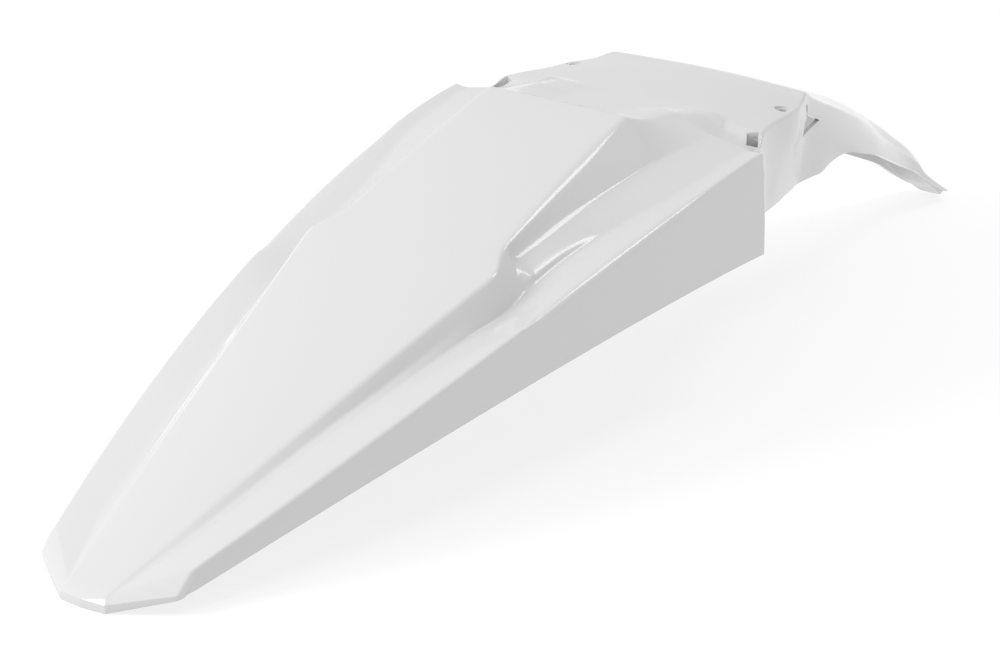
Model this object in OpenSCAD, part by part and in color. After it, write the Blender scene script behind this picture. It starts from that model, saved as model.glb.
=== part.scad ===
// Motorcycle rear fender moulded as one thin shell.
// X points to the rider's right, Y points forward and Z points up.
// The shell is lofted through rows of points that follow its fold lines.
// Lengths along the fender are measured from the tail tip.

/* [Overall] */
// Overall length from tail tip to front tongue
part_l = 864; // [820:1:910]
// Width across the shoulders at the step
body_w = 231; // [210:1:250]
// Height of the plateau at the step
body_h = 176; // [165:1:190]
// Wall thickness of the moulding
wall = 3; // [2.4:0.1:3.4]

/* [Tail] */
// Half width of the flat middle at the tail tip
tip_flat = 14; // [11:0.5:17]
// Half width at the two outer corners of the tail tip
tip_corner = 49.5; // [45:0.5:53]
// Height of the rim at the tail tip
tip_rim = 5; // [4:0.5:7]
// Height of the shoulder fold at the step
shoulder_h = 154; // [148:1:160]
// Height of the skirt's lower edge at the step
skirt_h = 91; // [84:1:98]
// Place of the crease on the skirt, as a share of the skirt's depth
skirt_crease = 0.68; // [0.55:0.01:0.8]
// Outward lean of the skirt from fold to lower edge
skirt_lean = 2.5; // [1:0.5:4]
// Rise of the plateau's middle above its edges
crown = 2.5; // [0:0.5:5]
// Radius of the folds along the tail
fold_r = 2.2; // [1:0.1:3]

/* [Scoops] */
// Distance from the tail tip to the mouth of each scoop
scoop_y = 298; // [285:1:310]
// Half width of the plateau where the scoops begin
scoop_half = 58; // [55:0.5:61]
// Half width of the plateau at the step
plateau_half = 50; // [46:0.5:54]
// Half width at the foot of the scoop wall at the step
foot_half = 79; // [75:0.5:83]
// Height of the foot of the scoop wall at the step
foot_h = 158; // [155:0.5:161]

/* [Step and saddle] */
// Distance from the tail tip to the step on the centre line
step_mid = 428; // [420:1:436]
// Distance from the tail tip to the step at the shoulders
step_side = 474; // [468:1:480]
// Height of the ridge that runs out of the step
hump_h = 11; // [7:0.5:14]
// Height of the scoop wall's upper corner at the step
peak_z = 167; // [164:0.5:169]

/* [Mountings] */
// Diameter of the bolt holes near the neck
hole_d = 6; // [5.5:0.1:6.5]
// Diameter of the flat seat around each bolt hole
seat_d = 10; // [9:0.5:11]
// Diameter of the bosses under the bolt holes
boss_d = 13; // [12:0.5:14]
// Distance of the bolt holes from the centre line
hole_x = 79; // [77:0.5:80]
// Distance of the bolt holes from the tail tip
hole_y = 550; // [546:1:552]
// Diameter of the blind holes in the saddle bosses
insert_d = 8; // [7:0.1:9]
// Depth of the blind holes in the saddle bosses
insert_l = 12; // [8:0.5:13]
// Outer diameter of the saddle bosses
insert_boss_d = 16; // [15:0.5:17]
// Distance of the saddle bosses from the centre line
insert_x = 40; // [36:0.5:42]
// Distance of the saddle bosses from the tail tip
insert_y = 508; // [505:1:512]
// Width of the slots beside the step
slot_w = 7; // [5:0.5:7.5]
// Length of the slots beside the step
slot_l = 12; // [9:1:12]

/* [Hidden] */
$fn = 48;
eps = 0.02;
// middle of the slots, and the pocket that closes each one from below
slot_x = 94.5;
slot_y = 494;
slot_turn = 32;
slot_top = 165;
pocket_low = 139;
pocket_h = 9;
pocket_floor = 2;
pocket_w = slot_w + 3;
pocket_l = slot_l + 3;
// lengths of the mountings
boss_l = 7;
insert_boss_l = 17;
// how far a cut runs past the surface
overrun = 12;
neck_cut = 40;
// scale of the drawn lines when an overall size is changed
sy = part_l / 864;
sx = body_w / 231;
sz = body_h / 176;
tail_half = 115.5;
plateau_h = 176.4;

function mix(a, b, t) = a + (b - a) * t;
function clip(t) = min(1, max(0, t));
function ease(t) = let (s = clip(t)) s * s * (3 - 2 * s);
// smooth curve through a few hand picked [place, value] pairs
function span(y, k, i = 0) = i >= len(k) - 2 || y < k[i + 1][0] ? i : span(y, k, i + 1);
function lean(k, i) =
    let (a = max(0, i - 1), b = min(len(k) - 1, i + 1))
    (k[b][1] - k[a][1]) / (k[b][0] - k[a][0]);
function curve(y, k) =
    let (
        i = span(y, k),
        h = k[i + 1][0] - k[i][0],
        t = (y - k[i][0]) / h,
        t2 = t * t,
        t3 = t2 * t
    )
    (2 * t3 - 3 * t2 + 1) * k[i][1] + (t3 - 2 * t2 + t) * h * lean(k, i)
    + (3 * t2 - 2 * t3) * k[i + 1][1] + (t3 - t2) * h * lean(k, i + 1);

// tail lines, each a function of the distance from the tip
function tail_t(y) = clip((step_side - y) / (step_side - 34));
function shoulder_x(y) = tail_half - (tail_half - tip_corner) * pow(tail_t(y), 2);
function shoulder_z(y) = shoulder_h - (shoulder_h - 23) * pow(tail_t(y), 1.33);
function bottom_z(y) = skirt_h - (skirt_h - 12) * pow(tail_t(y), 1.8);
function plateau_z(y) = plateau_h - (plateau_h - 9) * pow(clip((425 - y) / 420), 1.13);
function plateau_x(y) =
    let (
        open = tip_flat + 0.2 * (y - 5),
        shut = mix(scoop_half, plateau_half, (y - scoop_y) / (425 - scoop_y))
    )
    mix(open, shut, ease((y - scoop_y + 26) / 24));
function valley_x(y) =
    let (p = tip_flat + 0.2 * (y - 5), k = 0.04 + 0.26 * ease(y / 60))
    mix(p + k * (shoulder_x(y) - p),
        curve(y, [[240, 72], [270, 77], [300, 78.5], [330, 81], [367, 88], [410, 97], [474, 103]]),
        ease((y - 240) / 40));
function valley_z(y) =
    mix(plateau_z(y) - curve(y, [[5, 0.3], [94, 1.5], [143, 4], [194, 10], [247, 16.5], [280, 20]]),
        shoulder_z(y) + curve(y, [[240, -4.5], [270, -6], [300, -3.5], [340, -2], [474, -1]]),
        ease((y - 235) / 40));
function foot_x(y) = foot_half - 19 * clip((474 - y) / 171);
function foot_z(y) = foot_h - 32 * pow(clip((474 - y) / 171), 1.5);

// lip of the scoop wall, which runs on past the step
lip_z = [[step_mid - 3, plateau_h], [440, 171.2], [450, 168.6], [462, peak_z + 0.8], [474, peak_z]];

// right half of a tail row, from the centre line out to the skirt's lower edge
function tail_row(y) =
    let (
        near = 1 - ease((y - 5) / 100),
        yv = y + 1.5 * near,
        ys = y + 29 * near,
        yb = y + 23 * near,
        c = [0, y, saddle_z(0, y) * stepped(0, y) + (1 - stepped(0, y))
            * (plateau_z(y) + crown * sin(180 * clip((431 - y) / 428)))],
        p = y < step_mid - 3 ? [plateau_x(y), y, plateau_z(y)] : [plateau_half, y, curve(y, lip_z)],
        v = [valley_x(yv), yv, valley_z(yv)],
        s = [shoulder_x(ys), ys, shoulder_z(ys)],
        b = [shoulder_x(yb) + skirt_lean, yb, bottom_z(yb)],
        wf = ease((y - scoop_y + 6) / 10),
        f = mix(mix(p, v, 0.5), [foot_x(y), y, foot_z(y)], wf),
        g = mix(mix(p, v, 0.75), mix(f, v, 0.7) + [0, 0, 3 * (1 - ease((y - 310) / 60))], wf),
        k = mix(s, b, skirt_crease) + [0.8, 0, 0]
    )
    [c, p, mix(p, f, 0.3), mix(p, f, 0.62), f, g, v, s, mix(s, k, 0.5), k, b];

// the two rows of the rim that closes the tail tip
function rim_row(h) =
    let (
        r = tail_row(5),
        a = [tip_flat + 2, 1.5, h * tip_rim],
        e = [tip_corner - 0.5, 22.5, 9 + h * (tip_rim - 2)],
        q = r[10] + [-0.3, -2.6 + 1.1 * h, -1.3 + 0.8 * h]
    )
    [for (i = [0 : 10])
        i == 0 ? [0, 0, h * tip_rim]
        : i < 7 ? mix(a, e, (r[i][0] - r[1][0]) / (r[7][0] - r[1][0]))
        : mix(e, q, (i - 7) / 3)];

// front lines
flange_x = [[477, 112], [490, 103], [503, 97], [524, 91], [558, 85], [576, 77.5], [592, 71],
    [620, 63.5], [650, 56], [692, 44], [725, 32], [760, 21], [800, 14.5], [830, 13.5], [860, 10.5]];
flange_z = [[477, 149.5], [492, 149.8], [501, 155.6], [540, 154.5], [572, 153.8], [584, 156], [592, 153],
    [600, 148.5], [620, 139], [650, 126], [692, 107], [725, 92], [760, 73], [800, 51], [812, 43.5],
    [820, 36.5], [827, 28.5], [835, 22.5], [845, 16], [852, 11.5], [860, 5.5]];
ridge_z = [[431, 160], [477, 160], [560, 159.5], [588, 156.8], [604, 151.5], [627, 141.8], [668, 127],
    [701, 114], [741, 95], [773, 77], [803, 57.5], [820, 46], [829, 38.5], [834, 31], [839, 23],
    [845, 16.5], [856, 9], [864, 3.3]];
crease_x = [[477, 115], [500, 99], [530, 89], [560, 81], [580, 74], [592, 70.5], [624, 66],
    [660, 58.5], [692, 51], [721, 43], [752, 33], [783, 23.5], [801, 19], [816, 17.3], [858, 15.5]];
crease_z = [[477, 106], [529, 112], [545, 121], [562, 126], [580, 125.5], [592, 123], [624, 116],
    [660, 102], [692, 88], [721, 78], [752, 65], [783, 51], [801, 43.5], [816, 35.5], [828, 26.5],
    [840, 18.5], [858, 7.5]];
edge_x = [[477, 114.5], [500, 98], [540, 84], [575, 71], [592, 65], [623, 62], [657, 58.5],
    [692, 53], [721, 45], [752, 35], [783, 25], [801, 20], [816, 18.2], [856, 17]];
edge_z = [[477, 105], [525, 100], [557, 97], [588, 93.5], [612, 92], [624, 91.5], [635, 94.5],
    [650, 95.5], [665, 93], [692, 84], [721, 73.5], [752, 60], [783, 46], [801, 38], [816, 31],
    [828, 23.5], [840, 16], [856, 7]];
// surface of the saddle before and behind its ridge
function saddle_z(x, y) =
    let (
        q = abs(x) / curve(max(477, y), flange_x),
        side = curve(max(477, y), flange_z),
        shelf = 0.46 + 0.22 * clip((y - 474) / 30),
        ridge = pow(clip(1 - (y - step_mid) / 88), 1.2) * (1 - clip((q - shelf) / (0.71 - shelf)))
    )
    side + (curve(max(431, y), ridge_z) - side) * (1 - pow(q, 2.4)) + hump_h * ridge;
// 0 on the plateau and 1 on the saddle, across the step's face
function stepped(x, y) = clip((y - step_mid + 3 * pow(x / plateau_half, 2)) / 3.5 + 0.5);

share = [0, 0.45, 0.52, 0.61, 0.705, 0.8, 0.9];
front_end = [864, 863.5, 863.2, 862.9, 862.6, 862.3, 861.8, 861, 859.5, 858, 856.5];

// right half of a front row, from the centre line out to the lower edge
function front_row(y) =
    let (
        r = tail_row(step_side),
        past = ease((y - 800) / 64),
        ys = [for (i = [0 : 10]) y - (864 - front_end[i]) * past],
        top = [for (i = [0 : 6])
            let (x = mix(r[i][0], share[i] * curve(ys[7], flange_x), ease((y - 477) / 30)))
            [x, ys[i], saddle_z(x, ys[i])]],
        s = [curve(ys[7], flange_x), ys[7], curve(ys[7], flange_z)],
        k = [curve(ys[9], crease_x), ys[9], curve(ys[9], crease_z)],
        b = [curve(ys[10], edge_x), ys[10], curve(ys[10], edge_z)]
    )
    concat(top, [s, mix(s, k, 0.52) + [1.2 * (1 - past), 0, 0], k, b]);

// rounds one fold by replacing its point with three
function fold(a, b, c, r) =
    let (
        p = b + (a - b) * min(0.4, r / norm(a - b)),
        q = b + (c - b) * min(0.4, r / norm(c - b))
    )
    [p, p / 4 + b / 2 + q / 4, q];

// points of one row after rounding, from the centre line outward
function fine_row(r) =
    let (
        c = r[0],
        p = r[1],
        y = p[1],
        tail = y > 6 && y < 476,
        arch = [for (t = [0.4, 0.75])
            let (
                m = mix(c, p, t),
                w = stepped(m[0], m[1]),
                plain = p[2] + (c[2] - p[2]) * (1 - t * t)
            )
            [m[0], m[1], w == 0 ? plain
                : y > 476 ? saddle_z(m[0], m[1])
                : mix(plateau_z(m[1]) + 0.3, saddle_z(m[0], m[1]), w)]],
        f = fold(arch[1], p, r[2], fold_r),
        w = tail ? stepped(f[0][0], f[0][1]) : 0,
        f0 = [f[0][0], f[0][1], mix(f[0][2], saddle_z(f[0][0], f[0][1]), w)]
    )
    concat([c], arch, [f0, f[1], f[2]], [r[2], r[3]], fold(r[3], r[4], r[5], 1.5), [r[5]],
        fold(r[5], r[6], r[7], 4), [mix(r[6], r[7], 0.5)], fold(r[6], r[7], r[8], fold_r),
        [r[8], r[9], r[10]]);

function full_row(r) =
    let (f = [for (q = fine_row(r)) [q[0] * sx, q[1] * sy, q[2] * sz]], n = len(f))
    concat([for (i = [n - 1 : -1 : 1]) [-f[i][0], f[i][1], f[i][2]]], f);

tail_ys = [5, 14, 28, 46, 70, 98, 130, 162, 196, 228, 256, 276, 287, 292, 296, 300, 306, 316, 334,
    360, 390, 412, step_mid - 5, step_mid - 1.8, step_mid + 1.8, 440, 457, step_side];
front_ys = [step_side + 3, 485, 492, 497, 502, 512, 532, 554, 571, 580, 588, 598, 616, 635, 654, 680,
    710, 742, 774, 800, 816, 825, 832, 839, 847, 855, 864];
rows = concat([full_row(rim_row(0)), full_row(rim_row(1))],
    [for (y = tail_ys) full_row(tail_row(y))], [for (y = front_ys) full_row(front_row(y))]);
nr = len(rows);
nc = len(rows[0]);

// pull toward the inside along the length: forward at the tip, back where a face looks forward
function pull_y(y) =
    wall * (1 - ease(y / 40))
    - 0.8 * wall * (1 - ease((abs(y - step_mid) - 2) / 8))
    - 0.8 * wall * (1 - ease((abs(y - step_side - 1.5) - 2) / 8));
// share of the wall by which a point moves down, from the top surface to the skirt's lower edge
function pull_z(i, j) =
    let (c = abs(j - (nc - 1) / 2) - (nc - 1) / 2 + 4)
    i == 0 ? 0 : c <= 0 ? 1 : 1 - 0.22 * c;
function inner(i, j) =
    let (
        p = rows[i][j],
        y = p[1] / sy,
        side = max(13, i < 2 ? tip_corner : y < 476 ? shoulder_x(y + 29 * (1 - ease((y - 5) / 100)))
            : curve(y, flange_x))
    )
    [p[0] * (1 - wall / side), p[1] + pull_y(y), p[2] - 1.1 * wall * pull_z(i, j)];

module shell() {
    skin = [for (i = [0 : nr - 1]) for (j = [0 : nc - 1]) rows[i][j]];
    back = [for (i = [0 : nr - 1]) for (j = [0 : nc - 1]) inner(i, j)];
    k = nr * nc;
    faces = concat(
        [for (i = [0 : nr - 2]) for (j = [0 : nc - 2])
            each [[i * nc + j, (i + 1) * nc + j, (i + 1) * nc + j + 1],
                [i * nc + j, (i + 1) * nc + j + 1, i * nc + j + 1]]],
        [for (i = [0 : nr - 2]) for (j = [0 : nc - 2])
            each [[k + i * nc + j, k + (i + 1) * nc + j + 1, k + (i + 1) * nc + j],
                [k + i * nc + j, k + i * nc + j + 1, k + (i + 1) * nc + j + 1]]],
        [for (i = [0 : nr - 2])
            each [[i * nc, k + i * nc, k + (i + 1) * nc], [i * nc, k + (i + 1) * nc, (i + 1) * nc]]],
        [for (i = [0 : nr - 2])
            let (a = i * nc + nc - 1, b = a + nc)
            each [[a, k + b, k + a], [a, b, k + b]]],
        [for (j = [0 : nc - 2]) each [[j, k + j + 1, k + j], [j, j + 1, k + j + 1]]],
        [for (j = [0 : nc - 2])
            let (a = (nr - 1) * nc + j)
            each [[a, k + a, k + a + 1], [a, k + a + 1, a + 1]]]
    );
    polyhedron(points = concat(skin, back), faces = faces);
}

module both_sides() {
    children();
    mirror([1, 0, 0]) children();
}

// heights of the flat faces of the mountings
seat_z = 154.3 * sz;
boss_z = seat_z - boss_l;
insert_top = 159.4 * sz;
insert_low = insert_top - insert_boss_l;

// upright box along the rise beside the step
module slot_box(w, l, low, high) {
    translate([slot_x * sx, slot_y * sy, low])
    rotate([0, 0, slot_turn])
    translate([-w / 2, -l / 2, 0])
    cube([w, l, high - low]);
}

// opening in the side wall at the neck, drawn as seen from the side
module neck_opening() {
    translate([48 * sx, 0, 0])
    rotate([90, 0, 90])
    linear_extrude(neck_cut)
    scale([sy, sz])
    polygon([[584, 147.5], [587.5, 147.5], [587, 142.5], [590.5, 139.8], [609, 131], [582, 127.5],
        [586, 139]]);
}

module at(x, y, z) {
    translate([x * sx, y * sy, z]) children();
}

module rear_fender() {
    color([0.95, 0.95, 0.94])
    translate([0, -part_l / 2, 0])
    difference() {
        union() {
            shell();
            both_sides() {
                at(hole_x, hole_y, boss_z) cylinder(d = boss_d, h = boss_l - 0.5);
                at(insert_x, insert_y, insert_low) cylinder(d = insert_boss_d, h = insert_boss_l);
                slot_box(pocket_w, pocket_l, pocket_low * sz, (pocket_low + pocket_h) * sz);
            }
        }
        both_sides() {
            at(hole_x, hole_y, boss_z - 1) cylinder(d = hole_d, h = boss_l + overrun);
            at(hole_x, hole_y, seat_z) cylinder(d = seat_d, h = overrun);
            at(insert_x, insert_y, insert_low - eps) cylinder(d = insert_d, h = insert_l + eps);
            slot_box(slot_w, slot_l, (pocket_low + pocket_floor) * sz, slot_top * sz);
            neck_opening();
        }
    }
}

rear_fender();
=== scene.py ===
"""Motorcycle rear fender: a thin moulded shell in gloss white plastic, on a pale studio floor."""

import math

import bpy
from bpy.props import FloatProperty, FloatVectorProperty, PointerProperty
from mathutils import Euler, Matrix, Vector


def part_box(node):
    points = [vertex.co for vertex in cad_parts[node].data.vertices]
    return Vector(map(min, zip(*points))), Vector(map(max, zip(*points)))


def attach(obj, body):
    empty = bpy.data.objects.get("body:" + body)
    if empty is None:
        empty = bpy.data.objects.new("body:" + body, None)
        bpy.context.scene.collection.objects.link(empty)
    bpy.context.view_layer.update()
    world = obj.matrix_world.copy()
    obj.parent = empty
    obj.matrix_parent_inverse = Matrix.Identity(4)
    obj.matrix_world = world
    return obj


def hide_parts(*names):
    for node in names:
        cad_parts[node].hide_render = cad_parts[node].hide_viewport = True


bl_info = {
    "name": "Rear Fender",
    "version": (1, 0, 0),
    "blender": (4, 5, 0),
    "location": "View3D > Sidebar > Fender",
    "description": "Builds a moulded motorcycle rear fender and its studio",
    "category": "Object",
}

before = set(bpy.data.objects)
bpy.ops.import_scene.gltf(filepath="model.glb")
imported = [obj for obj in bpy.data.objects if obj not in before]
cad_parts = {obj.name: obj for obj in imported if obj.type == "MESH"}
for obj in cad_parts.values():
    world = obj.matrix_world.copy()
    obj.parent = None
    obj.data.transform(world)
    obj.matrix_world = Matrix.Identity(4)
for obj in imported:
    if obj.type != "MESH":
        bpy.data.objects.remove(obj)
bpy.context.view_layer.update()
NODE = "rear_fender"
LOW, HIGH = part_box(NODE)

# Lengths in the shape functions are millimetres from the tail tip, as drawn at this size.
MM = 0.001
DRAWN = Vector((236.0, 864.0, 176.68))


# Small helpers of the shape


def mix(a, b, t):
    """The number or point at the share t of the way from a to b."""
    return a + (b - a) * t


def clip(t):
    """A number kept between 0 and 1."""
    return min(1.0, max(0.0, t))


def ease(t):
    """A number kept between 0 and 1, with a soft start and end."""
    s = clip(t)
    return s * s * (3 - 2 * s)


def along(y, run):
    """Soft way through a (start, end) run: 0 before it and 1 past it."""
    return ease((y - run[0]) / (run[1] - run[0]))


def swell(y, amount, grow, fade):
    """An amount that grows from 0 over one run and goes back to 0 over another."""
    return amount * along(y, grow) * (1 - along(y, fade))


def curve(y, keys):
    """Smooth curve through a few listed (place, value) pairs."""
    last = len(keys) - 2
    i = 0
    while i < last and y >= keys[i + 1][0]:
        i += 1

    def lean(n):
        a, b = max(0, n - 1), min(last + 1, n + 1)
        return (keys[b][1] - keys[a][1]) / (keys[b][0] - keys[a][0])

    h = keys[i + 1][0] - keys[i][0]
    t = (y - keys[i][0]) / h
    start = (2 * t**3 - 3 * t**2 + 1) * keys[i][1] + (t**3 - 2 * t**2 + t) * h * lean(i)
    end = (3 * t**2 - 2 * t**3) * keys[i + 1][1] + (t**3 - t**2) * h * lean(i + 1)
    return start + end


# Fold lines of the tail


# Half widths across the fender, and heights, where the lines lie furthest out or highest
SHOULDER_HALF, SCOOP_HALF, PLATEAU_HALF, FOOT_HALF = 115.5, 58.0, 50.0, 79.0
SHOULDER_Z, SKIRT_Z, PLATEAU_Z, FOOT_Z, PEAK_Z = 154.0, 91.0, 176.4, 158.0, 167.0
# The same at the tail tip
TIP_CORNER, TIP_FLAT = 49.5, 14.0
TIP_SHOULDER_Z, TIP_BOTTOM_Z, TIP_PLATEAU_Z = 23.0, 12.0, 9.0
# Places along the fender: first row and its shoulder point, start of the scoops, end of the
# plateau, middle of the step, the rows behind and in front of the skirt's end, and the front
FIRST_Y, FIRST_SHOULDER_Y, SCOOP_Y, PLATEAU_END = 5.0, 34.0, 298.0, 425.0
STEP_MID, STEP_SIDE, FRONT_Y, LENGTH = 428.0, 474.0, 477.0, DRAWN.y
SKIRT_END = (STEP_SIDE + FRONT_Y) / 2
# Powers that bend the lines on their way down to the tip
SHOULDER_X_BEND, SHOULDER_Z_BEND, BOTTOM_BEND, PLATEAU_BEND, FOOT_BEND = 2, 1.33, 1.8, 1.13, 1.5
# The plateau: how fast it widens from the tip, and its crown's height, start and end
PLATEAU_SPREAD, CROWN, CROWN_START, CROWN_END = 0.2, 2.5, 3.0, 431.0
# The step's face: its run, and how far its sides lie behind its middle
STEP_RUN, STEP_BOW = 3.5, 3.0
# The scoop's foot: how far it goes in and down, and over which length
FOOT_IN, FOOT_FALL, FOOT_LENGTH = 19.0, 32.0, 171.0
# The valley near the tip: its share of the way to the shoulder, and what that share grows by
VALLEY_SHARE, VALLEY_SHARE_MORE = 0.04, 0.26
# Behind the scoops: shares of the way from the plateau's edge to the valley at which the foot
# and the gutter lie, and how much further down they lie there
BACK_FOOT, BACK_GUTTER, BACK_SINK = 0.5, 0.75, 0.75
# The gutter of the scoop: its share of the way from the foot to the valley, and its slope
GUTTER_SHARE, GUTTER_SLOPE = 0.82, 0.5
# Shares of the way from the plateau's edge to the foot, for two points on the slanted wall
WALL_SHARES = (0.3, 0.62)
# The skirt: share of its height at the crease, and how far the crease and the edge lie out
SKIRT_CREASE, SKIRT_BULGE, SKIRT_LEAN = 0.68, 0.8, 2.5
# The first row is slanted: how far forward its valley, shoulder and skirt points lie
VALLEY_LAG, SHOULDER_LAG, SKIRT_LAG = 1.5, 29.0, 23.0

# Runs along the fender over which one form turns into the next
SLANT_RUN, TIP_VALLEY_RUN, SINK_RUN = (5, 105), (0, 60), (150, 280)
VALLEY_X_RUN, VALLEY_Z_RUN = (240, 280), (235, 275)
PLATEAU_RUN, SCOOP_RUN = (272, 296), (292, 302)
SADDLE_RUN, TONGUE_RUN = (477, 507), (800, 864)

# Curves of (distance from the tip, value) pairs
VALLEY_X = ((240, 72), (270, 77), (300, 78.5), (330, 81), (367, 89.5), (410, 100), (474, 106))
VALLEY_DROP = ((5, 0.3), (50, 2.1), (94, 4.1), (143, 6.2), (194, 10.8), (247, 16.5), (280, 20))
VALLEY_RISE = ((240, -4.5), (270, -6), (300, -3.5), (340, -2), (474, -1))
LIP_Z = ((425, PLATEAU_Z), (440, 171.2), (450, 168.6), (462, PEAK_Z + 0.8), (474, PEAK_Z))


def back_share(y):
    """How far back a place is: 0 at the front of the skirt and 1 at the first shoulder point."""
    return clip((STEP_SIDE - y) / (STEP_SIDE - FIRST_SHOULDER_Y))


def shoulder_x(y):
    """Half width at the shoulder."""
    return SHOULDER_HALF - (SHOULDER_HALF - TIP_CORNER) * back_share(y) ** SHOULDER_X_BEND


def shoulder_z(y):
    """Height of the shoulder."""
    return SHOULDER_Z - (SHOULDER_Z - TIP_SHOULDER_Z) * back_share(y) ** SHOULDER_Z_BEND


def bottom_z(y):
    """Height of the skirt's lower edge."""
    return SKIRT_Z - (SKIRT_Z - TIP_BOTTOM_Z) * back_share(y) ** BOTTOM_BEND


def plateau_z(y):
    """Height of the plateau's edge."""
    share = clip((PLATEAU_END - y) / (PLATEAU_END - FIRST_Y))
    return PLATEAU_Z - (PLATEAU_Z - TIP_PLATEAU_Z) * share**PLATEAU_BEND


def widening_x(y):
    """Half width of the plateau behind the scoops, where it widens from the tip."""
    return TIP_FLAT + PLATEAU_SPREAD * (y - FIRST_Y)


def plateau_x(y):
    """Half width of the plateau, which widens as far as the scoops and narrows beside them."""
    narrowing = mix(SCOOP_HALF, PLATEAU_HALF, (y - SCOOP_Y) / (PLATEAU_END - SCOOP_Y))
    return mix(widening_x(y), narrowing, along(y, PLATEAU_RUN))


def valley_x(y):
    """How far out the lowest line of the valley runs."""
    share = VALLEY_SHARE + VALLEY_SHARE_MORE * along(y, TIP_VALLEY_RUN)
    near_tip = mix(widening_x(y), shoulder_x(y), share)
    return mix(near_tip, curve(y, VALLEY_X), along(y, VALLEY_X_RUN))


def valley_z(y):
    """Height of the lowest line of the valley."""
    near_tip = plateau_z(y) - curve(y, VALLEY_DROP)
    beside_scoop = shoulder_z(y) + curve(y, VALLEY_RISE)
    return mix(near_tip, beside_scoop, along(y, VALLEY_Z_RUN))


def scoop_foot(y):
    """Foot of the slanted wall in the scoop."""
    share = clip((STEP_SIDE - y) / FOOT_LENGTH)
    return Vector((FOOT_HALF - FOOT_IN * share, y, FOOT_Z - FOOT_FALL * share**FOOT_BEND))


def stepped(x, y):
    """0 on the plateau and 1 on the saddle, across the step's face."""
    return clip((y - STEP_MID + STEP_BOW * (x / PLATEAU_HALF) ** 2) / STEP_RUN + 0.5)


def slant(y):
    """1 at the slanted first row and 0 where the rows are square."""
    return 1 - along(y, SLANT_RUN)


# Fold lines of the saddle, the neck and the tongue, as (distance from the tip, value) pairs


FLANGE_X = (
    (477, 112), (490, 103), (503, 97), (524, 91), (558, 85), (576, 77.5), (592, 71), (620, 63.5),
    (650, 56), (692, 44), (725, 32), (760, 21), (800, 14.5), (830, 13.5), (860, 10.5),
)
FLANGE_Z = (
    (477, 149.5), (492, 149.8), (501, 155.6), (540, 154.5), (572, 153.8), (584, 156), (592, 153),
    (600, 148.5), (620, 139), (650, 126), (692, 107), (725, 92), (760, 73), (800, 51), (812, 43.5),
    (820, 36.5), (827, 28.5), (835, 22.5), (845, 16), (852, 11.5), (860, 5.5),
)
MIDDLE_Z = (
    (431, 160), (477, 160), (560, 159.5), (588, 156.8), (604, 151.5), (627, 141.8), (668, 127),
    (701, 114), (741, 95), (773, 77), (803, 57.5), (820, 46), (829, 38.5), (834, 31), (839, 23),
    (845, 16.5), (856, 9), (864, 3.3),
)
CREASE_X = (
    (477, 115), (500, 99), (530, 89), (560, 81), (580, 74), (592, 70.5), (624, 66), (660, 58.5),
    (692, 51), (721, 43), (752, 33), (783, 23.5), (801, 19), (816, 17.3), (858, 15.5),
)
CREASE_Z = (
    (477, 106), (529, 112), (545, 121), (562, 126), (580, 125.5), (592, 123), (624, 116),
    (660, 102), (692, 88), (721, 78), (752, 65), (783, 51), (801, 43.5), (816, 35.5), (828, 26.5),
    (840, 18.5), (858, 7.5),
)
BOTTOM_X = (
    (477, 114.5), (500, 98), (540, 84), (575, 71), (592, 65), (623, 62), (657, 58.5), (692, 53),
    (721, 45), (752, 35), (783, 25), (801, 20), (816, 18.2), (856, 17),
)
BOTTOM_Z = (
    (477, 105), (525, 100), (557, 97), (588, 93.5), (612, 92), (624, 91.5), (635, 94.5),
    (650, 95.5), (665, 93), (692, 84), (721, 73.5), (752, 60), (783, 46), (801, 38), (816, 31),
    (828, 23.5), (840, 16), (856, 7),
)
# Points between the centre line and the flange, as shares of the flange's half width
SHARE = (0, 0.45, 0.52, 0.61, 0.705, 0.8, 0.9)
# Where the points of the last row end, from the centre line to the flange, the crease and the
# lower edge
FRONT_END = (864, 863.5, 863.2, 862.9, 862.6, 862.3, 861.8, 861, 858, 856.5)
# Power of the saddle's arch, and the middle of the side wall: its share of the way down to the
# crease, and how far it lies out
SADDLE_BEND, FLANK_SHARE, FLANK_BULGE = 2.4, 0.52, 1.2
# The hump that runs out of the step: height, length, bend, and the shares of the half width
# where it starts to fall and where it ends, the first of which grows over a short run
HUMP, HUMP_LENGTH, HUMP_BEND = 11.0, 88.0, 1.2
HUMP_SHELF, HUMP_SHELF_MORE, HUMP_SHELF_LENGTH, HUMP_FOOT = 0.46, 0.22, 30.0, 0.71
# The ridges beside the hump: where they start to rise, their height, crest and outer foot
RIDGE_IN = 20.0
RIDGE_RISE = ((474, 3.9), (477, 3.7), (494, 3), (508, 0.4), (515, 0))
RIDGE_X = ((474, 52), (477, 56), (494, 59.5), (508, 66.5))
RIDGE_FOOT_X = ((474, 77), (508, 68))


def ridge_rise(x, y):
    """Extra height of the ridges in front of the step, steep on their outer side."""
    top, foot = curve(y, RIDGE_X), curve(y, RIDGE_FOOT_X)
    if x < top:
        share = along(x, (RIDGE_IN, top))
    else:
        share = 1 - clip((x - top) / max(1, foot - top))
    return curve(y, RIDGE_RISE) * share


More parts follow.
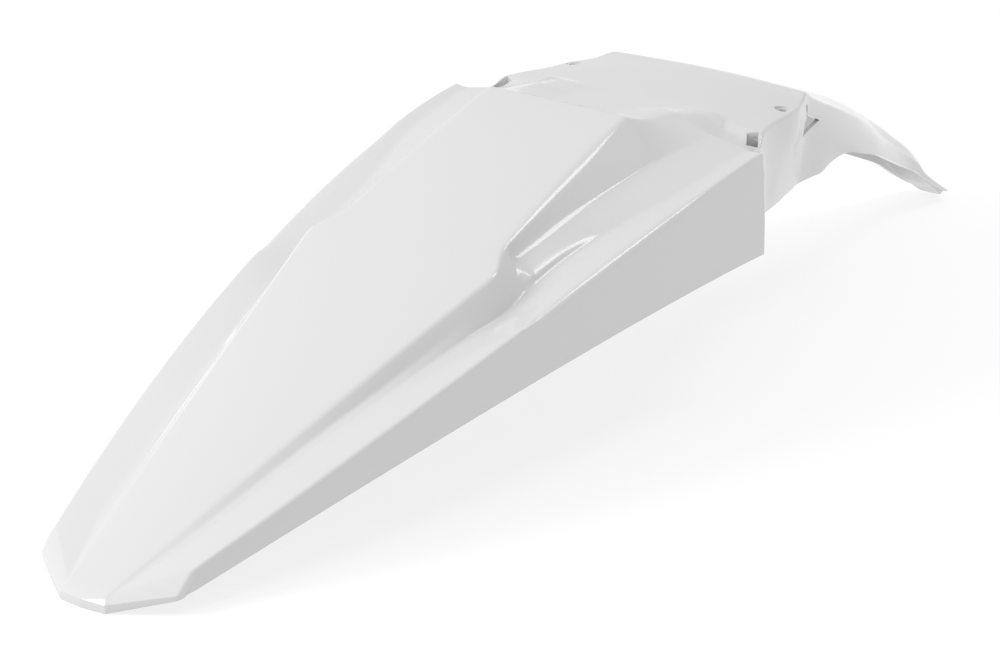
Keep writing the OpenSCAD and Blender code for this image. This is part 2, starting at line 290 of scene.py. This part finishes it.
def saddle_z(x, y):
    """Surface of the saddle, with the hump and the ridges that run out of the step."""
    side_y = max(FRONT_Y, y)
    out = x / curve(side_y, FLANGE_X)
    side = curve(side_y, FLANGE_Z)
    middle = curve(max(MIDDLE_Z[0][0], y), MIDDLE_Z)
    shelf = HUMP_SHELF + HUMP_SHELF_MORE * clip((y - STEP_SIDE) / HUMP_SHELF_LENGTH)
    hump = clip(1 - (y - STEP_MID) / HUMP_LENGTH) ** HUMP_BEND
    hump *= 1 - clip((out - shelf) / (HUMP_FOOT - shelf))
    rise = ridge_rise(x, y) if STEP_SIDE < y < RIDGE_RISE[-1][0] else 0
    return side + (middle - side) * (1 - out**SADDLE_BEND) + HUMP * hump + rise


# Rows of points across the shell


# The rim that closes the tail tip, on its lower edge and its upper one: its middle, the end of
# its flat part, its corner, and how far its last point lies from the skirt's edge
RIM = (
    ((0, 0, 0), (0, 0, 5)),
    ((16, 1.5, 0), (16, 1.5, 5)),
    ((49, 22.5, 9), (49, 22.5, 12)),
    ((-0.3, -2.6, -1.3), (-0.3, -1.5, -0.5)),
)
# Shares of the way from the centre line to the plateau's edge, for the points of the arch, and
# how much the arch is raised at the step
ARCH_SHARES, ARCH_RAISED = (0.15, 0.3, 0.45, 0.6, 0.75, 0.87), 0.3
# Shares of the way between two points of a row, for the points that divide a wide facet
NEAR, HALF, FAR = 0.4, 0.5, 0.6
# Rounding of the folds, the number of points on a wide and on a small fold, and the largest
# share of the way to the next point that a fold may take
FOOT_ROUND, VALLEY_ROUND, BRIM_ROUND, CREASE_ROUND = 1.5, 4.0, 1.2, 1.5
WIDE_FOLD, SMALL_FOLD, FOLD_REACH = 7, 3, 0.85
# Wider rounding along the scoops: amount, the run that it grows over and the one it ends over
EDGE_SWELL = (2.6, (292, 306), (380, 420))
FOOT_SWELL = (2.2, (292, 306), (330, 380))
VALLEY_SWELL = (5.0, (235, 265), (290, 335))
SHOULDER_SWELL = (3.8, (262, 274), (385, 425))
# Rows along the fender: from, to and pitch
TAIL_RUNS = (
    (5, 14, 3), (14, 280, 3.5), (280, 310, 1.2), (310, 422, 2), (422, 434, 0.8), (434, 474, 2.5),
)
FRONT_RUNS = ((477, 505, 1.4), (505, 565, 4), (565, 610, 2), (610, 800, 4), (800, 864, 2))


def tail_row(y):
    """Right half of a tail row: centre line, plateau edge, two points on the slanted wall, its
    foot, gutter, valley, shoulder, middle of the skirt, its crease and its lower edge."""
    near_tip = slant(y)
    yv, ys, yb = (y + lag * near_tip for lag in (VALLEY_LAG, SHOULDER_LAG, SKIRT_LAG))
    crown = CROWN * math.sin(math.pi * clip((CROWN_END - y) / (CROWN_END - CROWN_START)))
    centre = Vector((0, y, mix(plateau_z(y) + crown, saddle_z(0, y), stepped(0, y))))
    if y < PLATEAU_END:
        edge = Vector((plateau_x(y), y, plateau_z(y)))
    else:
        edge = Vector((PLATEAU_HALF, y, curve(y, LIP_Z)))
    valley = Vector((valley_x(yv), yv, valley_z(yv)))
    shoulder = Vector((shoulder_x(ys), ys, shoulder_z(ys)))
    bottom = Vector((shoulder_x(yb) + SKIRT_LEAN, yb, bottom_z(yb)))
    crease = mix(shoulder, bottom, SKIRT_CREASE) + Vector((SKIRT_BULGE, 0, 0))
    sink = BACK_SINK * (1 - along(y, SINK_RUN))
    foot, gutter = mix(edge, valley, BACK_FOOT), mix(edge, valley, BACK_GUTTER)
    foot.z, gutter.z = mix(foot.z, valley.z, sink), mix(gutter.z, valley.z, sink)
    scoop = along(y, SCOOP_RUN)
    foot = mix(foot, scoop_foot(y), scoop)
    scoop_gutter = mix(foot, valley, GUTTER_SHARE)
    fall = GUTTER_SLOPE * (scoop_gutter.x - foot.x)
    scoop_gutter.z = max(scoop_gutter.z, foot.z - fall)
    gutter = mix(gutter, scoop_gutter, scoop)
    wall = [mix(edge, foot, share) for share in WALL_SHARES]
    flank = mix(shoulder, crease, HALF)
    return [centre, edge, *wall, foot, gutter, valley, shoulder, flank, crease, bottom]


def rim_row(level):
    """A row of the rim that closes the tail tip: 0 for its lower edge and 1 for its upper one."""
    first = tail_row(FIRST_Y)
    middle, flat, corner, shift = (Vector(points[level]) for points in RIM)
    start, end = first[1].x, first[7].x
    row = [mix(flat, corner, (p.x - start) / (end - start)) for p in first[1:7]]
    side = [mix(corner, first[10] + shift, i / 3) for i in range(4)]
    return [middle, *row, *side]


def front_row(y):
    """Right half of a row over the saddle, the neck and the tongue, with as many points."""
    past = along(y, TONGUE_RUN)
    *ys, yf, yc, yb = [y - (LENGTH - end) * past for end in FRONT_END]
    row = []
    for share, at_step, yp in zip(SHARE, tail_row(STEP_SIDE), ys):
        x = mix(at_step.x, share * curve(yf, FLANGE_X), along(y, SADDLE_RUN))
        row.append(Vector((x, yp, saddle_z(x, yp))))
    flange = Vector((curve(yf, FLANGE_X), yf, curve(yf, FLANGE_Z)))
    crease = Vector((curve(yc, CREASE_X), yc, curve(yc, CREASE_Z)))
    bottom = Vector((curve(yb, BOTTOM_X), yb, curve(yb, BOTTOM_Z)))
    flank = mix(flange, crease, FLANK_SHARE) + Vector((FLANK_BULGE * (1 - past), 0, 0))
    return [*row, flange, flank, crease, bottom]


def fold(a, b, c, radius, points=WIDE_FOLD):
    """Rounds the fold at b with a short curve that starts and ends at that distance from it."""
    p = b + (a - b) * min(FOLD_REACH, radius / (a - b).length)
    q = b + (c - b) * min(FOLD_REACH, radius / (c - b).length)
    rounded = []
    for i in range(points):
        t = i / (points - 1)
        rounded.append(p * (1 - t) ** 2 + b * 2 * t * (1 - t) + q * t**2)
    return rounded


def arch_point(centre, edge, t):
    """A point between the centre line and the plateau's edge."""
    m = mix(centre, edge, t)
    over = stepped(m.x, m.y)
    if over == 0:
        m.z = edge.z + (centre.z - edge.z) * (1 - t * t)
    elif edge.y > SKIRT_END:
        m.z = saddle_z(m.x, m.y)
    else:
        lift = (edge.z - saddle_z(edge.x, edge.y)) * along(m.x, (RIDGE_IN, PLATEAU_HALF))
        m.z = mix(plateau_z(m.y) + ARCH_RAISED, saddle_z(m.x, m.y) + lift, over)
    return m


def fine_row(half, radius):
    """A half row with its folds rounded and its wide facets divided."""
    centre, edge, wall, wall_end, foot, gutter, valley, shoulder, flank, crease, bottom = half
    y = edge.y
    arch = [arch_point(centre, edge, t) for t in ARCH_SHARES]
    before, drop = mix(foot, gutter, FAR), mix(gutter, valley, NEAR)
    bank, upper = mix(valley, shoulder, HALF), mix(shoulder, flank, FAR)
    lower, last = mix(flank, crease, FAR), mix(crease, bottom, FAR)
    return [
        centre, *arch, *fold(arch[-1], edge, wall, radius + swell(y, *EDGE_SWELL)), wall, wall_end,
        *fold(wall_end, foot, before, FOOT_ROUND + swell(y, *FOOT_SWELL)), before,
        *fold(before, gutter, drop, BRIM_ROUND, SMALL_FOLD), drop,
        *fold(drop, valley, bank, VALLEY_ROUND + swell(y, *VALLEY_SWELL)), bank,
        *fold(bank, shoulder, upper, radius + swell(y, *SHOULDER_SWELL)), upper, flank, lower,
        *fold(lower, crease, last, CREASE_ROUND, SMALL_FOLD), last, bottom,
    ]


def places(runs):
    """Distances along the fender, from runs of (from, to, pitch), without each run's end."""
    ys = []
    for start, end, pitch in runs:
        n = max(1, round((end - start) / pitch))
        ys += [mix(start, end, i / n) for i in range(n)]
    return ys


def shell_rows(radius):
    """All rows from the tail tip to the tongue, each from the left lower edge to the right one."""
    halves = [rim_row(0), rim_row(1)]
    halves += [tail_row(y) for y in [*places(TAIL_RUNS), STEP_SIDE]]
    halves += [front_row(y) for y in [*places(FRONT_RUNS), LENGTH]]
    rows = []
    for half in halves:
        right = fine_row(half, radius)
        left = [Vector((-p.x, p.y, p.z)) for p in right[:0:-1]]
        rows.append(left + right)
    return rows


# Inner skin


# Run over which the inner skin is pulled forward at the tip, the distances from a steep face
# over which it is pushed off, and by what share of the wall
TIP_PULL_RUN, FACE_RUN, FACE_PUSH = (0, 40), (2, 10), 0.8
# How many walls it lies lower, over how many columns of the skirt that fades and by which
# share, and the smallest half width that it is narrowed by
WALL_DOWN, SKIRT_COLUMNS, SKIRT_FADE, SMALLEST_HALF = 1.1, 8, 0.88, 13


def inner_point(p, row, column, columns, wall):
    """The inner skin's point behind an outer one: pulled in, down and away from steep faces."""
    y = p.y
    if row < 2:
        side = TIP_CORNER
    elif y < SKIRT_END:
        side = shoulder_x(y + SHOULDER_LAG * slant(y))
    else:
        side = curve(y, FLANGE_X)
    pull = wall * (1 - along(y, TIP_PULL_RUN))
    for face in (STEP_MID, SKIRT_END):
        pull -= FACE_PUSH * wall * (1 - along(abs(y - face), FACE_RUN))
    centre = (columns - 1) / 2
    skirt = clip((abs(column - centre) - centre + SKIRT_COLUMNS) / SKIRT_COLUMNS)
    down = 0 if row == 0 else 1 - SKIRT_FADE * skirt
    x = p.x * (1 - wall / max(SMALLEST_HALF, side))
    return Vector((x, y + pull, p.z - WALL_DOWN * wall * down))


def to_metres(p):
    """From drawn millimetres to metres in the part's frame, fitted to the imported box."""
    size = HIGH - LOW
    x = p.x / DRAWN.x * size.x
    y = LOW.y + p.y / DRAWN.y * size.y
    return Vector((x, y, LOW.z + p.z / DRAWN.z * size.z))


# Bolt holes, insert holes, slots and neck openings, for the right side


BOLT_PLACE, BOLT_SEAT_Z = (79, 550), 154.3
INSERT_PLACE, INSERT_TOP_Z = (40, 508), 159.4
SLOT_TURN = math.radians(32)
# Bosses and holes: name, place, radius, lowest height and highest height
BOSSES = (
    ("boss", BOLT_PLACE, 6.5, BOLT_SEAT_Z - 7, BOLT_SEAT_Z - 0.5),
    ("insert_boss", INSERT_PLACE, 8, INSERT_TOP_Z - 17, INSERT_TOP_Z),
)
HOLES = (
    ("hole", BOLT_PLACE, 3, BOLT_SEAT_Z - 8, BOLT_SEAT_Z + 12),
    ("seat", BOLT_PLACE, 5, BOLT_SEAT_Z, BOLT_SEAT_Z + 6),
    ("blind", INSERT_PLACE, 4, INSERT_TOP_Z - 17.1, INSERT_TOP_Z - 5),
)
# The slot, and the pocket behind it: name, place and size
SLOT = ("slot", (94.5, 494, 153), (7, 12, 22))
POCKETS = (
    ("pocket", (94.5, 494, 143.5), (10, 15, 9)),
    ("pocket_back", (92, 498, 148), (10, 6.5, 8)),
)
# The prism of the neck opening: where it starts, its depth, and its (y, z) outline
NECK_X, NECK_DEPTH = 48, 40
NECK_OUTLINE = (
    (584, 147.5), (587.5, 147.5), (587, 142.5), (590.5, 139.8), (609, 131), (582, 127.5),
    (586, 139),
)


# Modelling helpers


def deselect_all():
    """Leaves edit mode, if it is on, and selects nothing."""
    if bpy.context.object and bpy.context.object.mode != "OBJECT":
        bpy.ops.object.mode_set(mode="OBJECT")
    bpy.ops.object.select_all(action="DESELECT")


def make_active(obj):
    """Selects one object alone and makes it the active one."""
    deselect_all()
    obj.select_set(True)
    bpy.context.view_layer.objects.active = obj


def set_place(obj):
    """Moves an object's place and turn into its mesh."""
    make_active(obj)
    bpy.ops.object.transform_apply(location=True, rotation=True, scale=True)


def add_cylinder(side, name, place, radius, low, high):
    """Upright cylinder between two heights on one side, in drawn millimetres."""
    deselect_all()
    middle = to_metres(Vector((side * place[0], place[1], (low + high) / 2)))
    bpy.ops.mesh.primitive_cylinder_add(
        vertices=48, radius=radius * MM, depth=(high - low) * MM, location=middle
    )
    obj = bpy.context.object
    obj.name = name
    set_place(obj)
    return obj


def add_block(side, name, place, size):
    """Upright block in line with the slot on one side, in drawn millimetres."""
    deselect_all()
    middle = to_metres(Vector((side * place[0], place[1], place[2])))
    bpy.ops.mesh.primitive_cube_add(size=1, location=middle, rotation=(0, 0, side * SLOT_TURN))
    obj = bpy.context.object
    obj.name = name
    obj.scale = Vector(size) * MM
    set_place(obj)
    return obj


def combine(target, other, operation):
    """Joins or cuts the target with another object, which is then deleted."""
    make_active(target)
    step = target.modifiers.new(operation.title(), "BOOLEAN")
    step.operation = operation
    step.solver = "MANIFOLD"
    step.object = other
    bpy.ops.object.modifier_apply(modifier=step.name)
    bpy.data.objects.remove(other, do_unlink=True)
    if not target.data.polygons:
        raise RuntimeError("a cut left nothing of " + target.name)


# Materials


def moulded_surface_group():
    """Node group: slow waves and fine grain of a moulded surface, as a height and a roughness."""
    name = "Moulded Surface"
    if name in bpy.data.node_groups:
        return bpy.data.node_groups[name]
    group = bpy.data.node_groups.new(name, "ShaderNodeTree")
    for label, default in (("Roughness", 0.2), ("Variation", 0.05), ("Grain Size", 900.0)):
        socket = group.interface.new_socket(label, in_out="INPUT", socket_type="NodeSocketFloat")
        socket.default_value = default
    for label in ("Roughness", "Height"):
        group.interface.new_socket(label, in_out="OUTPUT", socket_type="NodeSocketFloat")
    nodes, links = group.nodes, group.links
    start = nodes.new("NodeGroupInput")
    end = nodes.new("NodeGroupOutput")
    place = nodes.new("ShaderNodeTexCoord")
    waves = nodes.new("ShaderNodeTexNoise")
    waves.inputs["Scale"].default_value = 9.0
    waves.inputs["Detail"].default_value = 1.0
    grain = nodes.new("ShaderNodeTexNoise")
    grain.inputs["Detail"].default_value = 2.0
    for texture in (waves, grain):
        links.new(place.outputs["Object"], texture.inputs["Vector"])
    links.new(start.outputs["Grain Size"], grain.inputs["Scale"])
    swing = nodes.new("ShaderNodeMath")
    swing.operation = "SUBTRACT"
    swing.inputs[1].default_value = 0.5
    links.new(waves.outputs["Fac"], swing.inputs[0])
    rough = nodes.new("ShaderNodeMath")
    rough.operation = "MULTIPLY_ADD"
    links.new(swing.outputs[0], rough.inputs[0])
    links.new(start.outputs["Variation"], rough.inputs[1])
    links.new(start.outputs["Roughness"], rough.inputs[2])
    links.new(rough.outputs[0], end.inputs["Roughness"])
    height = nodes.new("ShaderNodeMath")
    height.operation = "MULTIPLY_ADD"
    height.inputs[1].default_value = 0.03
    links.new(grain.outputs["Fac"], height.inputs[0])
    links.new(waves.outputs["Fac"], height.inputs[2])
    links.new(height.outputs[0], end.inputs["Height"])
    return group


def gloss_plastic(settings):
    """Gloss white plastic of the shell."""
    material = bpy.data.materials.new("gloss_white_plastic")
    material.use_nodes = True
    nodes, links = material.node_tree.nodes, material.node_tree.links
    shader = nodes["Principled BSDF"]
    shader.inputs["Base Color"].default_value = (*settings.plastic_colour, 1)
    shader.inputs["IOR"].default_value = 1.49
    surface = nodes.new("ShaderNodeGroup")
    surface.node_tree = moulded_surface_group()
    surface.inputs["Roughness"].default_value = settings.plastic_roughness
    surface.inputs["Variation"].default_value = 0.06
    surface.inputs["Grain Size"].default_value = 900.0
    links.new(surface.outputs["Roughness"], shader.inputs["Roughness"])
    bump = nodes.new("ShaderNodeBump")
    bump.inputs["Strength"].default_value = 0.05
    bump.inputs["Distance"].default_value = 0.001
    links.new(surface.outputs["Height"], bump.inputs["Height"])
    links.new(bump.outputs["Normal"], shader.inputs["Normal"])
    return material


def floor_paper(settings):
    """Matte pale paper of the studio floor."""
    material = bpy.data.materials.new("pale_floor")
    material.use_nodes = True
    shader = material.node_tree.nodes["Principled BSDF"]
    shader.inputs["Base Color"].default_value = (*settings.floor_colour, 1)
    shader.inputs["Roughness"].default_value = 0.9
    shader.inputs["Specular IOR Level"].default_value = 0.1
    shader.inputs["Emission Color"].default_value = (1, 1, 1, 1)
    shader.inputs["Emission Strength"].default_value = settings.floor_glow
    return material


# Sizes and colours that a user would change


class FenderSettings(bpy.types.PropertyGroup):
    """Sizes and finish of the fender."""

    wall: FloatProperty(
        name="Wall", description="Wall thickness", default=0.003, min=0.002, max=0.004,
        unit="LENGTH", precision=4,
    )
    fold_radius: FloatProperty(
        name="Fold Radius", description="Rounding of the folds", default=0.0024, min=0.001,
        max=0.004, unit="LENGTH", precision=4,
    )
    edge_round: FloatProperty(
        name="Edge Rounding", description="Width of the small rounding on cut edges",
        default=0.0005, min=0.0001, max=0.001, unit="LENGTH", precision=4,
    )
    plastic_colour: FloatVectorProperty(
        name="Plastic", description="Colour of the moulded plastic", subtype="COLOR", size=3,
        default=(0.56, 0.56, 0.56), min=0, max=1,
    )
    plastic_roughness: FloatProperty(
        name="Roughness", description="Roughness of the plastic", default=0.11, min=0, max=1,
        subtype="FACTOR",
    )


class StudioSettings(bpy.types.PropertyGroup):
    """Camera, floor and lights."""

    lens: FloatProperty(
        name="Lens", description="Focal length on a sensor 36 mm wide", default=143.75, min=20,
        max=400, unit="CAMERA",
    )
    camera_place: FloatVectorProperty(
        name="Camera", description="Place of the camera", subtype="TRANSLATION", size=3,
        default=(1.351, -1.839, 0.890), unit="LENGTH",
    )
    camera_tilt: FloatProperty(
        name="Tilt", description="How far the camera looks down", subtype="ANGLE",
        default=math.radians(20.7),
    )
    camera_turn: FloatProperty(
        name="Turn", description="Turn of the camera to the left of forward", subtype="ANGLE",
        default=math.radians(37.26),
    )
    floor_colour: FloatVectorProperty(
        name="Floor", description="Colour of the floor", subtype="COLOR", size=3,
        default=(0.25, 0.25, 0.25), min=0, max=1,
    )
    floor_glow: FloatProperty(
        name="Floor Glow", description="Light given off by the lit table under the floor paper",
        default=0.73, min=0, max=2,
    )
    sky: FloatProperty(
        name="Room Light", description="Strength of the even white light of the room",
        default=0.86, min=0, max=3,
    )


# Finish of the mesh: distance at which points merge, smallest angle of an edge that is rounded
# and largest angle that is shaded smooth
MERGE_DISTANCE = 1e-6
BEVEL_ANGLE, SMOOTH_ANGLE = math.radians(55), math.radians(35)
# Soft lights: name, place, the point that they face, width and height, and power
LIGHTS = (
    ("key", (-0.9, -1.5, 1.1), (0, -0.2, 0.1), (0.9, 0.9), 23.5),
    ("strip", (0.88, 0.80, 2.27), (0, -0.08, 0.1), (0.55, 0.84), 8.5),
    ("fill", (-1.7, 0.65, 0.42), (0, -0.42, 0.02), (0.5, 0.4), 0.6),
)
# Width of the floor, and the gap that keeps it clear of the shell
FLOOR_SIZE, FLOOR_GAP = 14.0, 0.0002


# Operators


class FENDER_OT_shell(bpy.types.Operator):
    """Model the moulded shell with its bosses, holes and slots"""

    bl_idname = "fender.shell"
    bl_label = "Fender Shell"

    def sheet(self, settings):
        """Outer skin: a grid whose points are laid on the rows of the fold lines."""
        rows = shell_rows(settings.fold_radius / MM)
        columns = len(rows[0])
        deselect_all()
        bpy.ops.mesh.primitive_grid_add(
            x_subdivisions=columns - 1, y_subdivisions=len(rows) - 1, size=1
        )
        obj = bpy.context.object
        obj.name = "fender_shell"
        order = []
        # The grid is one metre wide, so the place of a point tells its column and row.
        for vertex in obj.data.vertices:
            column = round((vertex.co.x + 0.5) * (columns - 1))
            row = round((vertex.co.y + 0.5) * (len(rows) - 1))
            order.append((row, column))
            vertex.co = to_metres(rows[row][column])
        return obj, rows, order

    def thicken(self, obj, rows, order, wall):
        """Gives the skin its wall and lays the inner skin behind the outer one."""
        make_active(obj)
        step = obj.modifiers.new("Wall", "SOLIDIFY")
        step.thickness = wall
        step.offset = -1
        bpy.ops.object.modifier_apply(modifier=step.name)
        count = len(order)
        columns = len(rows[0])
        for index, (row, column) in enumerate(order):
            point = inner_point(rows[row][column], row, column, columns, wall / MM)
            obj.data.vertices[count + index].co = to_metres(point)

    def mountings(self, obj):
        """Bosses, bolt holes, blind holes, slots and neck openings on both sides."""
        for side in (-1, 1):
            for values in BOSSES:
                combine(obj, add_cylinder(side, *values), "UNION")
            for values in POCKETS:
                combine(obj, add_block(side, *values), "UNION")
        for side in (-1, 1):
            for values in HOLES:
                combine(obj, add_cylinder(side, *values), "DIFFERENCE")
            combine(obj, add_block(side, *SLOT), "DIFFERENCE")
            combine(obj, self.neck_prism(side), "DIFFERENCE")

    def neck_prism(self, side):
        """Prism that cuts the opening in the side wall at the neck."""
        deselect_all()
        bpy.ops.mesh.primitive_circle_add(
            vertices=len(NECK_OUTLINE), radius=0.01, fill_type="NGON"
        )
        obj = bpy.context.object
        obj.name = "neck_prism"
        for vertex, (y, z) in zip(obj.data.vertices, NECK_OUTLINE):
            vertex.co = to_metres(Vector((side * NECK_X, y, z)))
        bpy.ops.object.mode_set(mode="EDIT")
        bpy.ops.mesh.select_all(action="SELECT")
        bpy.ops.mesh.extrude_region_move(
            TRANSFORM_OT_translate={"value": (side * NECK_DEPTH * MM, 0, 0)}
        )
        bpy.ops.mesh.select_all(action="SELECT")
        bpy.ops.mesh.normals_make_consistent(inside=False)
        bpy.ops.object.mode_set(mode="OBJECT")
        set_place(obj)
        return obj

    def execute(self, context):
        settings = context.scene.fender
        obj, rows, order = self.sheet(settings)
        self.thicken(obj, rows, order, settings.wall)
        set_place(obj)
        make_active(obj)
        bpy.ops.object.mode_set(mode="EDIT")
        bpy.ops.mesh.select_all(action="SELECT")
        bpy.ops.mesh.remove_doubles(threshold=MERGE_DISTANCE)
        bpy.ops.mesh.normals_make_consistent(inside=False)
        bpy.ops.object.mode_set(mode="OBJECT")
        self.mountings(obj)
        make_active(obj)
        rounding = obj.modifiers.new("Edge Rounding", "BEVEL")
        rounding.width = settings.edge_round
        rounding.segments = 2
        rounding.limit_method = "ANGLE"
        rounding.angle_limit = BEVEL_ANGLE
        bpy.ops.object.modifier_apply(modifier=rounding.name)
        bpy.ops.object.shade_smooth_by_angle(angle=SMOOTH_ANGLE)
        obj.data.materials.clear()
        obj.data.materials.append(gloss_plastic(settings))
        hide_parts(NODE)
        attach(obj, "root")
        return {"FINISHED"}


class FENDER_OT_stage(bpy.types.Operator):
    """Set up the floor, the soft lights and the camera"""

    bl_idname = "fender.stage"
    bl_label = "Studio"

    def floor(self, settings):
        """Pale floor just under the shell."""
        deselect_all()
        bpy.ops.mesh.primitive_plane_add(size=FLOOR_SIZE, location=(0, 0, LOW.z - FLOOR_GAP))
        floor = bpy.context.object
        floor.name = "floor"
        set_place(floor)
        floor.data.materials.append(floor_paper(settings))

    def light(self, name, place, aim, size, power):
        """A soft rectangular light that faces a point."""
        bpy.ops.object.light_add(type="AREA", location=place)
        lamp = bpy.context.object
        lamp.name = name
        lamp.data.shape = "RECTANGLE"
        lamp.data.size, lamp.data.size_y = size
        lamp.data.energy = power
        lamp.rotation_euler = (Vector(aim) - Vector(place)).to_track_quat("-Z", "Y").to_euler()

    def room(self, settings):
        """Even white light from all around."""
        world = bpy.data.worlds.new("White Room")
        world.use_nodes = True
        back = world.node_tree.nodes["Background"]
        back.inputs["Color"].default_value = (1, 1, 1, 1)
        back.inputs["Strength"].default_value = settings.sky
        bpy.context.scene.world = world

    def camera(self, settings):
        """Camera at the photograph's viewing angle."""
        data = bpy.data.cameras.new("Camera")
        data.sensor_width = 36
        data.lens = settings.lens
        data.clip_end = 50
        camera = bpy.data.objects.new("Camera", data)
        bpy.context.scene.collection.objects.link(camera)
        camera.location = settings.camera_place
        pitch = math.pi / 2 - settings.camera_tilt
        camera.rotation_euler = Euler((pitch, 0, settings.camera_turn))
        bpy.context.scene.camera = camera

    def execute(self, context):
        settings = context.scene.studio
        self.floor(settings)
        self.room(settings)
        for values in LIGHTS:
            self.light(*values)
        self.camera(settings)
        context.scene.view_settings.view_transform = "Standard"
        context.scene.view_settings.look = "None"
        return {"FINISHED"}


SHELL_SETTINGS = ("wall", "fold_radius", "edge_round", "plastic_colour", "plastic_roughness")
STUDIO_SETTINGS = (
    "lens", "camera_place", "camera_tilt", "camera_turn", "floor_colour", "floor_glow", "sky",
)


class FENDER_PT_panel(bpy.types.Panel):
    """Sidebar panel of the fender"""

    bl_idname = "FENDER_PT_panel"
    bl_label = "Rear Fender"
    bl_space_type = "VIEW_3D"
    bl_region_type = "UI"
    bl_category = "Fender"

    def draw(self, context):
        column = self.layout.column()
        for name in SHELL_SETTINGS:
            column.prop(context.scene.fender, name)
        column.operator("fender.shell")
        for name in STUDIO_SETTINGS:
            column.prop(context.scene.studio, name)
        column.operator("fender.stage")


CLASSES = (FenderSettings, StudioSettings, FENDER_OT_shell, FENDER_OT_stage, FENDER_PT_panel)


def register():
    for cls in CLASSES:
        bpy.utils.register_class(cls)
    bpy.types.Scene.fender = PointerProperty(type=FenderSettings)
    bpy.types.Scene.studio = PointerProperty(type=StudioSettings)


def unregister():
    del bpy.types.Scene.studio
    del bpy.types.Scene.fender
    for cls in reversed(CLASSES):
        bpy.utils.unregister_class(cls)


def main():
    register()
    bpy.ops.fender.shell()
    bpy.ops.fender.stage()


if __name__ == "__main__":
    main()
